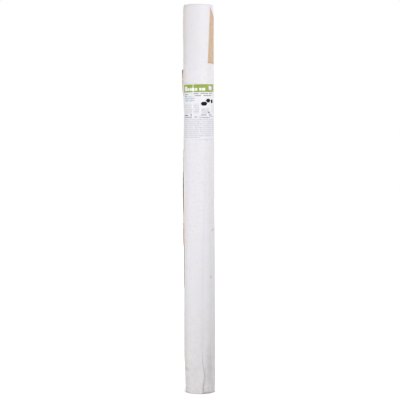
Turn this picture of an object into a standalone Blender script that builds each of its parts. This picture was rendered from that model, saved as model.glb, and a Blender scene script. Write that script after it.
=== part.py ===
"""A roll of breathable roofing membrane, standing on its end.

A nonwoven sheet is wound on a paperboard tube. The sheet's free end is hand-cut, so it slants, and it
is held by a strip of packing tape at the head of the roll. The upper end of that strip was cut
slanting. A paper label is stuck over the sheet's edge. Two more strips of tape run down the left side,
and their front edges have come away.

Lengths are in metres and angles in degrees. The roll stands on Z = 0, with its axis on Z. A bearing is
measured round the axis from the front of the roll, which faces -Y, towards +X.
"""

import math

import bmesh
import bpy
import numpy as np

# The roll as it is sold
ROLL_LENGTH = 1.5
ROLL_DIAMETER = 0.118
CORE_BORE = 0.050
CORE_WALL = 0.003
CORE_CHAMFER = 0.0006
SEAT_GAP = 0.0003

# The winding. Each modelled loop stands for three or four turns of the real sheet, so that it can be seen.
LOOPS = 22
LOOP_POINTS = 24
OUTER_LOOPS = 2
OUTER_LOOP_POINTS = 72
WEB_GAP = 0.0005
FULL_TURN = 360.0

# The free end of the sheet: a flap that leaves the last full loop at its root
FLAP_ROOT_BEARING = -45.0
FLAP_COLUMNS = 20
FREE_EDGE_FOOT_BEARING = 9.0
FREE_EDGE_SWEEP = 43.0
FREE_EDGE_SWEEP_POWER = 2.0

# The foot of the free edge, where the sheet has crumpled from standing on the ground
BUCKLE_HEIGHT = 0.075
BUCKLE_REACH = 0.035
BUCKLE_TURN = 8.0
EDGE_LIFT = 0.0025
EDGE_LIFT_REACH = 0.10
CRUMPLE_HEIGHT = 0.20
CRUMPLE_ROWS = 12
UPPER_ROWS = 13
OUTER_HEM_RAISE = 0.003
UNDER_HEM_RAISE = 0.007
UNDER_HEM_SPAN = 50.0

# The strip of double-sided tape that starts the sheet on the core
START_TAPE_WIDTH = 0.025
START_TAPE_END_MARGIN = 0.020
START_TAPE_THICKNESS = 0.0002

# The label
LABEL_WIDTH = 0.1516
LABEL_HEIGHT = 0.216
LABEL_THICKNESS = 0.0002
LABEL_DROP = 0.077
LABEL_LEFT_BEARING = -70.0
LABEL_LEAN = -1.0
LABEL_COLUMNS = 30
LABEL_ROWS = 5

# The packing tape
TAPE_WIDTH = 0.050
TAPE_THICKNESS = 0.0002
TAPE_COLUMNS = 10
HEAD_TAPE_LENGTH = 0.214
HEAD_TAPE_END_FALL = 0.055
HEAD_TAPE_MARGIN = 0.009
HEAD_TAPE_LEFT_BEARING = 36.5
HEAD_TAPE_LEAN = 2.9
HEAD_TAPE_ROWS = 5
UPPER_TAPE_FRONT_BEARING = -86.0
UPPER_TAPE_LENGTH = 0.100
UPPER_TAPE_BESIDE_LABEL = 0.047
UPPER_TAPE_LIFT = 0.0044
UPPER_TAPE_ROWS = 10
UPPER_TAPE_LOOSE_SHARES = (0.0, 0.4)
LOWER_TAPE_FRONT_BEARING = -68.0
LOWER_TAPE_LEAN = -2.4
LOWER_TAPE_LENGTH = 0.534
LOWER_TAPE_DROP = 0.040
LOWER_TAPE_LIFT = 0.0032
LOWER_TAPE_ROWS = 24
LOWER_TAPE_LOOSE_SHARES = (0.26, 0.42)
PEEL_WIDTH = 0.014

# What a sheet lying over the free edge does: it goes on level, then comes down to the loop below
STEP_LEVEL_RUN = 0.006
STEP_DOWN_RUN = 0.012

CORE_STEPS = 48
SMOOTH_BELOW = 30.0
GAP_SAMPLES = 4

# Sizes that follow from these
ROLL_RADIUS = ROLL_DIAMETER / 2
BORE_RADIUS = CORE_BORE / 2
CORE_RADIUS = BORE_RADIUS + CORE_WALL
HALF_FACET = math.radians(FULL_TURN / LOOP_POINTS / 2)
START_TAPE_RADIUS = CORE_RADIUS + SEAT_GAP
WINDING_RADIUS = (START_TAPE_RADIUS + START_TAPE_THICKNESS + SEAT_GAP) / math.cos(HALF_FACET)
LOOPS_TO_FREE_EDGE = LOOPS + (FREE_EDGE_FOOT_BEARING + FREE_EDGE_SWEEP - FLAP_ROOT_BEARING) / FULL_TURN
WEB = (ROLL_RADIUS - WINDING_RADIUS - LOOPS_TO_FREE_EDGE * WEB_GAP) / (LOOPS_TO_FREE_EDGE + 1)
PITCH = WEB + WEB_GAP
WINDING_START = FLAP_ROOT_BEARING - LOOPS * FULL_TURN

# Heights, from the head of the roll down
HEAD_TAPE_FOOT_HEIGHT = ROLL_LENGTH - HEAD_TAPE_MARGIN - HEAD_TAPE_LENGTH
LABEL_FOOT_HEIGHT = HEAD_TAPE_FOOT_HEIGHT - LABEL_DROP - LABEL_HEIGHT
UPPER_TAPE_FOOT_HEIGHT = LABEL_FOOT_HEIGHT + LABEL_HEIGHT - UPPER_TAPE_BESIDE_LABEL
LOWER_TAPE_FOOT_HEIGHT = LABEL_FOOT_HEIGHT - LOWER_TAPE_DROP - LOWER_TAPE_LENGTH


def clear_scene():
    for old in list(bpy.data.objects):
        bpy.data.objects.remove(old, do_unlink=True)


def place(bearing, radius, height):
    """The point at this bearing, radius and height."""
    turn = math.radians(bearing)
    return radius * math.sin(turn), -radius * math.cos(turn), height


def ease(share):
    """0 to 1 with level ends."""
    share = min(max(share, 0), 1)
    return share * share * (3 - 2 * share)


def hump(share):
    """1 at share 0, falling evenly to 0 on both sides."""
    return math.exp(-share * share)


# The wound sheet as a spiral: bearings go on counting from the core outwards


def web_inside(bearing):
    """Radius of the sheet's inner face at this running bearing."""
    return WINDING_RADIUS + PITCH * (bearing - WINDING_START) / FULL_TURN


def free_edge(height):
    """Bearing of the free edge at this height."""
    sweep = FREE_EDGE_SWEEP * (height / ROLL_LENGTH) ** FREE_EDGE_SWEEP_POWER
    buckle = BUCKLE_TURN * hump((height - BUCKLE_HEIGHT) / BUCKLE_REACH)
    return FREE_EDGE_FOOT_BEARING + sweep + buckle


def flap_lift(share, height):
    """How far the flap stands off, from its root at share 0 to the free edge at share 1."""
    return EDGE_LIFT * ease(share) * hump(height / EDGE_LIFT_REACH)


def hem(bearing):
    """Height of the sheet's lower edge at this running bearing."""
    under = (bearing + FULL_TURN - FREE_EDGE_FOOT_BEARING) / UNDER_HEM_SPAN
    if 0 <= under <= 1:
        return max(OUTER_HEM_RAISE, UNDER_HEM_RAISE * math.sin(math.pi * under))
    return OUTER_HEM_RAISE if under > 1 else 0


def surface(bearing, height):
    """Radius that a sheet lying on the roll follows: the outer face, with the step at the free edge eased."""
    past = math.radians(bearing - free_edge(height)) * ROLL_RADIUS
    outer = web_inside(bearing) + WEB
    return outer - PITCH * ease((past - STEP_LEVEL_RUN) / STEP_DOWN_RUN)


def loop_bearings():
    """Running bearings of the sheet's points from the core to the flap's root."""
    inner_loops = LOOPS - OUTER_LOOPS
    inner_end = WINDING_START + inner_loops * FULL_TURN
    inner = np.linspace(WINDING_START, inner_end, inner_loops * LOOP_POINTS + 1)
    outer = np.linspace(inner_end, FLAP_ROOT_BEARING, OUTER_LOOPS * OUTER_LOOP_POINTS + 1)
    return [float(b) for b in np.concatenate([inner, outer[1:]])]


def flap_heights():
    """Heights of the flap's rows, closer together where it has crumpled."""
    crumple = np.linspace(0, CRUMPLE_HEIGHT, CRUMPLE_ROWS + 1)
    upper = np.linspace(CRUMPLE_HEIGHT, ROLL_LENGTH, UPPER_ROWS + 1)
    return [float(h) for h in np.concatenate([crumple, upper[1:]])]


def strip_of(bm, column, lower, upper):
    """The four corners of the sheet's section between two heights, inner face first."""
    bearing, inside, outside = column
    corners = [(inside, lower), (inside, upper), (outside, lower), (outside, upper)]
    return [bm.verts.new(place(bearing, radius, height)) for radius, height in corners]


def add_face(bm, *corners):
    bm.faces.new(corners)


def finish_object(name, bm, colour, roughness, metallic=0):
    """Turns the bmesh into a named object with its own material."""
    bmesh.ops.recalc_face_normals(bm, faces=bm.faces)
    mesh = bpy.data.meshes.new(name)
    bm.to_mesh(mesh)
    bm.free()
    mesh.shade_smooth()
    mesh.set_sharp_from_angle(angle=math.radians(SMOOTH_BELOW))
    material = bpy.data.materials.new(name)
    material.use_nodes = True
    shader = material.node_tree.nodes["Principled BSDF"]
    shader.inputs["Base Color"].default_value = (*colour, 1)
    shader.inputs["Roughness"].default_value = roughness
    shader.inputs["Metallic"].default_value = metallic
    mesh.materials.append(material)
    obj = bpy.data.objects.new(name, mesh)
    bpy.context.scene.collection.objects.link(obj)
    return obj


def core_tube():
    """The paperboard tube: a profile with broken edges, turned about Z."""
    bm = bmesh.new()
    foot, head, broken = 0, ROLL_LENGTH, CORE_CHAMFER
    profile = [
        (BORE_RADIUS + broken, foot),
        (CORE_RADIUS - broken, foot),
        (CORE_RADIUS, foot + broken),
        (CORE_RADIUS, head - broken),
        (CORE_RADIUS - broken, head),
        (BORE_RADIUS + broken, head),
        (BORE_RADIUS, head - broken),
        (BORE_RADIUS, foot + broken),
    ]
    points = [bm.verts.new((radius, 0, height)) for radius, height in profile]
    edges = [bm.edges.new((a, b)) for a, b in zip(points, points[1:] + points[:1])]
    bmesh.ops.spin(
        bm,
        geom=points + edges,
        cent=(0, 0, 0),
        axis=(0, 0, 1),
        angle=math.radians(FULL_TURN),
        steps=CORE_STEPS,
        use_merge=True,
        use_duplicate=False,
    )
    return finish_object("core_tube", bm, (0.33, 0.22, 0.13), 0.85)


def membrane():
    """The whole sheet, one unbroken spiral from the core to the free edge."""
    bm = bmesh.new()
    bearings = loop_bearings()
    heights = flap_heights()

    # The full loops, up to the last column before the root
    columns = []
    for bearing in bearings[:-1]:
        inside = web_inside(bearing)
        columns.append(strip_of(bm, (bearing, inside, inside + WEB), hem(bearing), ROLL_LENGTH))
    for here, there in zip(columns, columns[1:]):
        add_face(bm, here[0], here[1], there[1], there[0])
        add_face(bm, here[2], there[2], there[3], here[3])
        add_face(bm, here[0], there[0], there[2], here[2])
        add_face(bm, here[1], here[3], there[3], there[1])
    start = columns[0]
    add_face(bm, start[0], start[2], start[3], start[1])

    # The flap, a grid on each face from its root to the free edge
    inner, outer = [], []
    for column in range(FLAP_COLUMNS + 1):
        share = column / FLAP_COLUMNS
        faces = ([], [])
        for height in heights:
            bearing = FLAP_ROOT_BEARING + share * (free_edge(height) - FLAP_ROOT_BEARING)
            inside = web_inside(bearing) + flap_lift(share, height)
            level = max(height, hem(bearing))
            faces[0].append(bm.verts.new(place(bearing, inside, level)))
            faces[1].append(bm.verts.new(place(bearing, inside + WEB, level)))
        inner.append(faces[0])
        outer.append(faces[1])
    for grid in (inner, outer):
        for here, there in zip(grid, grid[1:]):
            for row in range(len(heights) - 1):
                add_face(bm, here[row], here[row + 1], there[row + 1], there[row])
    for row in (0, -1):
        for column in range(FLAP_COLUMNS):
            near, far = [(inner[step][row], outer[step][row]) for step in (column, column + 1)]
            add_face(bm, near[0], far[0], far[1], near[1])
    for row in range(len(heights) - 1):
        add_face(bm, inner[-1][row], inner[-1][row + 1], outer[-1][row + 1], outer[-1][row])

    # The last panel before the root fans out to the flap's rows
    last = columns[-1]
    for foot, head, root in ((last[0], last[1], inner[0]), (last[2], last[3], outer[0])):
        for lower, upper in zip(root, root[1:]):
            add_face(bm, foot, lower, upper)
        add_face(bm, foot, root[-1], head)
    add_face(bm, last[0], last[2], outer[0][0], inner[0][0])
    add_face(bm, last[1], last[3], outer[0][-1], inner[0][-1])
    return finish_object("membrane", bm, (0.83, 0.82, 0.85), 0.8)


def laid_sheet(name, corner, size, lean, grid, thickness, colour, roughness, follow, lift=None, end_fall=0):
    """A flat sheet wrapped on the roll. corner is the bearing and height of its lower left corner.

    follow gives the radius of what it lies on, and lift how far it stands off at a share across and up.
    end_fall is how much shorter the sheet's right side is than its left one.
    """
    bm = bmesh.new()
    width, height = size
    columns, rows = grid
    across = math.cos(math.radians(lean)), -math.sin(math.radians(lean))
    upward = math.sin(math.radians(lean)), math.cos(math.radians(lean))
    faces = ([], [])
    for column in range(columns + 1):
        lines = ([], [])
        for row in range(rows + 1):
            along = width * column / columns
            up = (height - end_fall * column / columns) * row / rows
            run = along * across[0] + up * upward[0]
            level = corner[1] + along * across[1] + up * upward[1]
            bearing = corner[0] + math.degrees(run / follow(corner[0], corner[1]))
            radius = follow(bearing, level) + SEAT_GAP
            if lift:
                radius += lift(column / columns, row / rows)
            lines[0].append(bm.verts.new(place(bearing, radius, level)))
            lines[1].append(bm.verts.new(place(bearing, radius + thickness, level)))
        faces[0].append(lines[0])
        faces[1].append(lines[1])
    under, over = faces
    for side in faces:
        for here, there in zip(side, side[1:]):
            for row in range(rows):
                add_face(bm, here[row], here[row + 1], there[row + 1], there[row])
    for row in (0, -1):
        for column in range(columns):
            add_face(bm, under[column][row], under[column + 1][row], over[column + 1][row], over[column][row])
    for column in (0, -1):
        for row in range(rows):
            add_face(bm, under[column][row], under[column][row + 1], over[column][row + 1], over[column][row])
    return finish_object(name, bm, colour, roughness)


def core_surface(bearing, height):
    return CORE_RADIUS


def start_tape():
    """Double-sided tape along the core, under the sheet's first edge."""
    margin = START_TAPE_END_MARGIN
    return laid_sheet(
        "start_tape",
        corner=(FLAP_ROOT_BEARING, margin),
        size=(START_TAPE_WIDTH, ROLL_LENGTH - 2 * margin),
        lean=0,
        grid=(6, 1),
        thickness=START_TAPE_THICKNESS,
        colour=(0.75, 0.70, 0.55),
        roughness=0.6,
        follow=core_surface,
    )


def label():
    """The paper label on the front."""
    return laid_sheet(
        "label",
        corner=(LABEL_LEFT_BEARING, LABEL_FOOT_HEIGHT),
        size=(LABEL_WIDTH, LABEL_HEIGHT),
        lean=LABEL_LEAN,
        grid=(LABEL_COLUMNS, LABEL_ROWS),
        thickness=LABEL_THICKNESS,
        colour=(0.87, 0.86, 0.88),
        roughness=0.35,
        follow=surface,
    )


def tape(name, corner, length, lean, rows, lift=None, end_fall=0):
    """A strip of brown packing tape that runs up the roll."""
    return laid_sheet(
        name,
        corner=corner,
        size=(TAPE_WIDTH, length),
        lean=lean,
        grid=(TAPE_COLUMNS, rows),
        thickness=TAPE_THICKNESS,
        colour=(0.65, 0.50, 0.36),
        roughness=0.4,
        follow=surface,
        lift=lift,
        end_fall=end_fall,
    )


def peel(depth, loose_shares):
    """A lift for a strip whose right edge has come away. Going up, it lets go between two shares."""
    stuck_share = 1 - PEEL_WIDTH / TAPE_WIDTH
    first, full = loose_shares

    def lift(across, up):
        return depth * ease((across - stuck_share) / (1 - stuck_share)) * ease((up - first) / (full - first))

    return lift


def side_tape(name, front_bearing, foot_height, length, lean, rows, lift):
    """A strip down the left side. Its front edge is at this bearing at its foot."""
    back_bearing = front_bearing - math.degrees(TAPE_WIDTH / ROLL_RADIUS)
    return tape(name, (back_bearing, foot_height), length, lean, rows, lift)


def section(height, offset):
    """The sheet's path at this height, as points in plan, offset outwards from its inner face."""
    shares = np.linspace(0, 1, FLAP_COLUMNS + 1)[1:]
    flap = FLAP_ROOT_BEARING + shares * (free_edge(height) - FLAP_ROOT_BEARING)
    bearings = loop_bearings() + [float(b) for b in flap]
    lifts = [0] * len(loop_bearings()) + [flap_lift(share, height) for share in shares]
    radii = [web_inside(bearing) + lift + offset for bearing, lift in zip(bearings, lifts)]
    return np.array([place(bearing, radius, height)[:2] for bearing, radius in zip(bearings, radii)])


def least_web_gap():
    """The least gap between one loop's outer face and the next one's inner face, on points of both."""
    shares = np.linspace(0, 1, GAP_SAMPLES + 1)[:-1, None, None]
    least = math.inf
    for height in (0, BUCKLE_HEIGHT, CRUMPLE_HEIGHT, ROLL_LENGTH / 2, ROLL_LENGTH):
        outer, inner = section(height, WEB), section(height, 0)
        starts, runs = inner[:-1], inner[1:] - inner[:-1]
        for sample in (outer[:-1] * (1 - shares) + outer[1:] * shares).reshape(-1, 2):
            along = ((sample - starts) * runs).sum(axis=1) / (runs * runs).sum(axis=1)
            nearest = starts + runs * np.clip(along, 0, 1)[:, None]
            farther_out = np.linalg.norm(nearest, axis=1) > np.linalg.norm(sample)
            gaps = np.linalg.norm(sample - nearest, axis=1)[farther_out]
            least = min([least, *gaps])
    return least


def main():
    clear_scene()
    core_tube()
    start_tape()
    membrane()
    label()
    head_corner = (HEAD_TAPE_LEFT_BEARING, HEAD_TAPE_FOOT_HEIGHT)
    tape(
        "head_tape",
        head_corner,
        HEAD_TAPE_LENGTH,
        HEAD_TAPE_LEAN,
        HEAD_TAPE_ROWS,
        end_fall=HEAD_TAPE_END_FALL,
    )
    side_tape(
        "side_tape_upper",
        UPPER_TAPE_FRONT_BEARING,
        UPPER_TAPE_FOOT_HEIGHT,
        UPPER_TAPE_LENGTH,
        0,
        UPPER_TAPE_ROWS,
        peel(UPPER_TAPE_LIFT, UPPER_TAPE_LOOSE_SHARES),
    )
    side_tape(
        "side_tape_lower",
        LOWER_TAPE_FRONT_BEARING,
        LOWER_TAPE_FOOT_HEIGHT,
        LOWER_TAPE_LENGTH,
        LOWER_TAPE_LEAN,
        LOWER_TAPE_ROWS,
        peel(LOWER_TAPE_LIFT, LOWER_TAPE_LOOSE_SHARES),
    )
    print(f"sheet {WEB * 1000:.3f} mm thick, pitch {PITCH * 1000:.3f} mm")
    print(f"least gap between two loops {least_web_gap() * 1000:.3f} mm")


main()
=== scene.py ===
# %% [markdown]
# # A roll of breathable roofing membrane
# A white nonwoven sheet, 1.5 m wide and about 20 m long, is wound on a paperboard tube. The roll stands
# on its end. The sheet's free edge was cut by hand, brown packing tape holds it down, and a glossy paper
# label is stuck over it on the front.
#
# The frame holds plain solids at their real size. The cells below dress them, one piece at a time.

# %% Load the frame
import math

import bmesh
import bpy
from mathutils import Matrix, Vector, noise


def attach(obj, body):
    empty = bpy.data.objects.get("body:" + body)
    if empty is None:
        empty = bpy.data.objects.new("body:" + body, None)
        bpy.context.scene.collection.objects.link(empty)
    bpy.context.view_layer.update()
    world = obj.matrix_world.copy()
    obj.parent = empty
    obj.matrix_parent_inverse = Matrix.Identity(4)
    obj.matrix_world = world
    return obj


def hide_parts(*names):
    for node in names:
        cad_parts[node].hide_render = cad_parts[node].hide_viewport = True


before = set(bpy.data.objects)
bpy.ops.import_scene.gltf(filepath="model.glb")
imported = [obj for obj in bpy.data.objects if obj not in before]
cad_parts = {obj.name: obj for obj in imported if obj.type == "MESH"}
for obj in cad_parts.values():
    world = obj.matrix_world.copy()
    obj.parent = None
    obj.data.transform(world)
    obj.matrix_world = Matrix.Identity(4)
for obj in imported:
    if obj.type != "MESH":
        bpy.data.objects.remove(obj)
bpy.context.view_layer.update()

print("solids loaded:", ", ".join(sorted(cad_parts)))

# %% [markdown]
# ## The camera
# The photograph was taken from nearly five metres, a little above half the roll's height. The two rims
# show it: the lower one curves by about three pixels and the upper one hardly at all. A camera so far
# away needs a long lens to fill the frame, and its focal length in pixels gives the lens directly.

# %% Camera
PHOTO_PIXELS = 400
FOCAL_PIXELS = 1240
CAMERA_DISTANCE = 4.8
CAMERA_HEIGHT = 1.06
CAMERA_SIDE = 0.0025
CAMERA_PITCH = 3.69
CAMERA_ROLL = -0.25

camera_data = bpy.data.cameras.new("camera")
camera_data.lens = camera_data.sensor_width * FOCAL_PIXELS / PHOTO_PIXELS
camera = bpy.data.objects.new("camera", camera_data)
camera.matrix_world = (
    Matrix.Translation((CAMERA_SIDE, -CAMERA_DISTANCE, CAMERA_HEIGHT))
    @ Matrix.Rotation(math.radians(90 - CAMERA_PITCH), 4, "X")
    @ Matrix.Rotation(math.radians(CAMERA_ROLL), 4, "Z")
)
bpy.context.scene.collection.objects.link(camera)
bpy.context.scene.camera = camera
bpy.context.scene.view_settings.view_transform = "Standard"
print(f"lens {camera_data.lens:.0f} mm")

# %% [markdown]
# ## Colours and nodes
# Colours are picked as sRGB hex values, as in a paint program, but a renderer adds and multiplies light,
# so it wants linear values. One function turns the first into the second.
#
# Another adds a shader node with its settings, fills in its sockets and links them, so that each material
# below reads as a list of what feeds what. A colour ramp's stops can be given to it too.

# %% Helpers for colours and nodes
def linear(hex_colour):
    """The linear colour, with alpha 1, of an sRGB colour such as #D8D3CC."""
    channels = [int(hex_colour[place : place + 2], 16) / 255 for place in (1, 3, 5)]
    return [c / 12.92 if c <= 0.04045 else ((c + 0.055) / 1.055) ** 2.4 for c in channels] + [1]


def set_sockets(node, sockets):
    """Gives each input a value, a hex colour, or another node's output to link to."""
    for socket, value in sockets.items():
        if isinstance(value, bpy.types.NodeSocket):
            node.id_data.links.new(value, node.inputs[socket])
        else:
            node.inputs[socket].default_value = linear(value) if isinstance(value, str) else value


def add_node(material, kind, sockets=None, stops=(), **settings):
    """Adds a node. stops gives a colour ramp the place, the hex colour and the alpha of each stop."""
    node = material.node_tree.nodes.new("ShaderNode" + kind)
    for name, value in settings.items():
        setattr(node, name, value)
    set_sockets(node, sockets or {})
    if stops:
        elements = node.color_ramp.elements
        while len(elements) < len(stops):
            elements.new(0.5)
        for element, (at, shade, alpha) in zip(elements, stops):
            element.position = at
            element.color = linear(shade)[:3] + [alpha]
    return node


def new_material(name):
    """An empty node material and its Principled shader."""
    material = bpy.data.materials.new(name)
    material.use_nodes = True
    return material, material.node_tree.nodes["Principled BSDF"]


print("white in linear light:", linear("#FFFFFF"))

# %% [markdown]
# ## Floor and backdrop
# The roll is photographed on white with almost no shadow. The floor is white paint that also glows for
# the camera alone, so that it reads as white and still darkens where the roll stands on it. The lamps
# light it close to the roll, so it glows less there than far off, and under the roll not at all: the gap
# below the lifted hem stays dark.

# %% Floor
FLOOR_HALF = 12
# Distance from the roll's axis, and the glow there
GLOW_STEPS = ((0.050, 0.0), (0.066, 0.52), (0.110, 0.58), (3.0, 0.74))

bm = bmesh.new()
bmesh.ops.create_grid(bm, x_segments=1, y_segments=1, size=FLOOR_HALF)
floor_mesh = bpy.data.meshes.new("studio_floor")
bm.to_mesh(floor_mesh)
bm.free()
floor = bpy.data.objects.new("studio_floor", floor_mesh)
bpy.context.scene.collection.objects.link(floor)

floor_paint, floor_shader = new_material("white_studio_paint")
spot = add_node(floor_paint, "TexCoord").outputs["Object"]
away = add_node(floor_paint, "VectorMath", {0: spot}, operation="LENGTH").outputs["Value"]
glow = add_node(floor_paint, "LightPath").outputs["Is Camera Ray"]
glow = add_node(floor_paint, "Math", {0: glow, 1: GLOW_STEPS[-1][1]}, operation="MULTIPLY").outputs[0]
for (near, low), (far, high) in zip(GLOW_STEPS, GLOW_STEPS[1:]):
    sockets = {"Value": away, "From Min": near, "From Max": far, "To Min": low / high, "To Max": 1.0}
    share = add_node(floor_paint, "MapRange", sockets).outputs["Result"]
    glow = add_node(floor_paint, "Math", {0: glow, 1: share}, operation="MULTIPLY").outputs[0]
set_sockets(floor_shader, {"Base Color": "#F2F2F2", "Roughness": 0.9})
set_sockets(floor_shader, {"Emission Color": "#FFFFFF", "Emission Strength": glow})
floor_mesh.materials.append(floor_paint)
print("floor made, glowing", ", ".join(f"{glow} at {away} m" for away, glow in GLOW_STEPS))

# %% [markdown]
# ## The light
# A white cylinder shows its light plainly. The roll is brightest just left of its middle and falls off a
# little to both outlines, and more towards the foot. Three soft white lamps give that: one near the front
# and high, a tall narrow one at the front left, whose reflection is the bright streak down the label, and
# one close on the right. The room adds a weak light from all sides.
#
# Light Path tells the camera, reflections and see-through film to see a pure white room instead.

# %% World and lamps
ROOM_LIGHT = 0.365

world = bpy.data.worlds.new("studio")
bpy.context.scene.world = world
world.use_nodes = True
background = world.node_tree.nodes["Background"]
path = add_node(world, "LightPath").outputs
seen = path["Is Camera Ray"]
for ray in ("Is Glossy Ray", "Is Transmission Ray"):
    seen = add_node(world, "Math", {0: seen, 1: path[ray]}, operation="MAXIMUM").outputs[0]
strength = add_node(world, "MapRange", {"Value": seen, "To Min": ROOM_LIGHT, "To Max": 1.0})
set_sockets(background, {"Color": "#FFFFFF", "Strength": strength.outputs["Result"]})


def soft_lamp(name, where, aim, size, watts):
    """An area lamp of this width and height at where, facing aim."""
    data = bpy.data.lights.new(name, "AREA")
    data.shape = "RECTANGLE"
    data.size, data.size_y = size
    data.energy = watts
    lamp = bpy.data.objects.new(name, data)
    toward = Vector(aim) - Vector(where)
    lamp.matrix_world = Matrix.Translation(where) @ toward.to_track_quat("-Z", "Y").to_matrix().to_4x4()
    bpy.context.scene.collection.objects.link(lamp)


soft_lamp("front_lamp", (0.7, -1.6, 1.9), (0, 0, 1.2), (1.0, 1.0), 7.2)
soft_lamp("left_strip_lamp", (-1.8, -2.0, 0.9), (0, 0, 0.8), (0.5, 1.7), 30)
soft_lamp("right_lamp", (1.7, -0.4, 1.7), (0, 0, 1.0), (1.0, 1.0), 15)
print("room light and three lamps made")

# %% [markdown]
# ## How the sheet is wound
# A wound sheet is a spiral: at each full turn its radius grows by one thickness. Bearings are counted in
# degrees from the front of the roll towards its right, and they go on counting from turn to turn, so one
# number says both where a point is and in which turn.
#
# The free edge was cut by hand. It rises straight from the foot, drifts to the right as it nears the
# head, and bulges where the sheet has buckled just above the ground. There it stands off a little. Higher
# up it lies so flat that no step shows, so the sheet gets thinner towards it.

# %% Winding
ROLL_LENGTH = 1.5
ROLL_RADIUS = 0.059
CORE_RADIUS = 0.028
FIRST_TURN_RADIUS = 0.0288
SHEET_THICKNESS = 0.00042
FREE_EDGE_FOOT = 9.0
FREE_EDGE_SWEEP = 43.0
FREE_EDGE_HEAD = FREE_EDGE_FOOT + FREE_EDGE_SWEEP
BUCKLE_HEIGHT = 0.075
BUCKLE_REACH = 0.035
BUCKLE_TURN = 8.0
# How far the free edge stands off at the ground, how high that reaches, and over how many degrees
EDGE_LIFT = 0.0034
EDGE_LIFT_REACH = 0.14
FLAP_SPAN = 26.0
# How much thinner the sheet gets towards the free edge, over what run, and the heights where that begins
# and is complete
EDGE_PRESSED = 0.00036
EDGE_PRESSED_RUN = 0.013
EDGE_PRESSED_FROM = 0.15
EDGE_PRESSED_BY = 0.23

TURNS = (ROLL_RADIUS - FIRST_TURN_RADIUS) / SHEET_THICKNESS


def hump(share):
    """1 at share 0, falling evenly to 0 on both sides."""
    return math.exp(-share * share)


def ease(share):
    """0 to 1 with level ends."""
    share = min(max(share, 0), 1)
    return share * share * (3 - 2 * share)


def wound_radius(bearing):
    """Radius of the sheet's outer face at this running bearing."""
    return ROLL_RADIUS + SHEET_THICKNESS * (bearing - FREE_EDGE_HEAD) / 360


def wound_length(bearing):
    """Length of sheet between the head of the free edge and this running bearing."""
    turn = math.radians(FREE_EDGE_HEAD - bearing)
    return ROLL_RADIUS * turn - SHEET_THICKNESS * turn * turn / (4 * math.pi)


def free_edge(height):
    """Bearing of the free edge at this height."""
    buckle = BUCKLE_TURN * hump((height - BUCKLE_HEIGHT) / BUCKLE_REACH)
    return FREE_EDGE_FOOT + FREE_EDGE_SWEEP * (height / ROLL_LENGTH) ** 2 + buckle


# %% [markdown]
# ## What handling has done to the roll
# A roll this long is never a perfect cylinder. The tube has bent by a millimetre, the lower rim is drawn
# in from standing on the ground, a slanting fold runs across the foot, and the surface swells and sinks by
# a few tenths of a millimetre.
#
# A short table lists the single dents: where each is, how far it reaches and how deep it is. A minus
# makes it a bulge. Every turn moves with the one outside it, less and less towards the core, so the
# turns never cross.

# %% Handling
# The tube's bend, and the lengths over which it grows from the foot and from the head
BEND = 0.0010
BEND_FOOT_RUN = 0.2
BEND_HEAD_RUN = 0.1
# How far the lower rim is drawn in, and rounded, and how high each reaches
RIM_DRAW = 0.0012
RIM_DRAW_REACH = 0.10
RIM_ROUND = 0.0010
RIM_ROUND_REACH = 0.009
SWELL = 0.00045
# How closely the swells follow each other around and up the roll, and their share
SWELLS = ((1.6, 3.5, 1.0), (4, 9, 0.5))
# Bearing and height of the middle, reach across in degrees and up in metres, depth
DENTS = (
    (-85, 1.500, 40, 0.007, 0.0030),
    (85, 1.500, 38, 0.026, 0.0032),
    (85, 1.420, 40, 0.060, -0.0007),
    (-90, 1.330, 40, 0.050, 0.0007),
    (-90, 1.070, 25, 0.065, 0.0021),
    (88, 0.550, 45, 0.160, -0.0014),
    (88, 0.350, 45, 0.160, -0.0014),
    (88, 0.150, 45, 0.160, -0.0014),
    (-90, 0.260, 50, 0.120, -0.0011),
    (-90, 0.150, 50, 0.060, -0.0011),
    (-90, 0.030, 50, 0.050, 0.0010),
    (22, 0.000, 9, 0.140, 0.0009),
    (24, 0.0135, 13, 0.0030, 0.0019),
    (24, 0.0065, 13, 0.0035, -0.0013),
)
# Bearing and height of the fold's two ends, how it fades at them, half its breadth, its depth
FOLD_FOOT = (33, 0.011)
FOLD_HEAD = (47, 0.023)
FOLD_FADE = 0.6
FOLD_REACH = 0.0022
FOLD_DEPTH = 0.0012


def bend(height):
    """How far the tube's bend has moved this level to the left."""
    return BEND * ease(height / BEND_FOOT_RUN) * ease((ROLL_LENGTH - height) / BEND_HEAD_RUN)


def place(bearing, radius, height):
    """The point at this bearing, radius and height."""
    turn = math.radians(bearing)
    return Vector((radius * math.sin(turn) - bend(height), -radius * math.cos(turn), height))


def turned_by(bearing):
    """The bearing as seen from the front, from -180 to 180."""
    return (bearing + 180) % 360 - 180


def fold(facing, height):
    """The slanting fold at the foot: how far it draws the surface in."""
    share = (facing - FOLD_FOOT[0]) / (FOLD_HEAD[0] - FOLD_FOOT[0])
    level = FOLD_FOOT[1] + share * (FOLD_HEAD[1] - FOLD_FOOT[1])
    ends = hump((share - 0.5) / FOLD_FADE)
    return FOLD_DEPTH * ends * hump((height - level) / FOLD_REACH)


def handled(bearing, radius, height):
    """How far handling has moved the roll's outer face at this place, outwards."""
    facing = turned_by(bearing)
    drawn = RIM_DRAW * math.exp(-height / RIM_DRAW_REACH) + RIM_ROUND * math.exp(-height / RIM_ROUND_REACH)
    for middle, level, across, up, depth in DENTS:
        drawn += depth * hump(turned_by(facing - middle) / across) * hump((height - level) / up)
    drawn += fold(facing, height)
    around = place(bearing, 1, 0)
    swell = sum(
        share * noise.noise(Vector((around.x * across, around.y * across, height * up)))
        for across, up, share in SWELLS
    )
    depth = (radius - CORE_RADIUS) / (ROLL_RADIUS - CORE_RADIUS)
    return (SWELL * swell - drawn) * depth * depth


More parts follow.
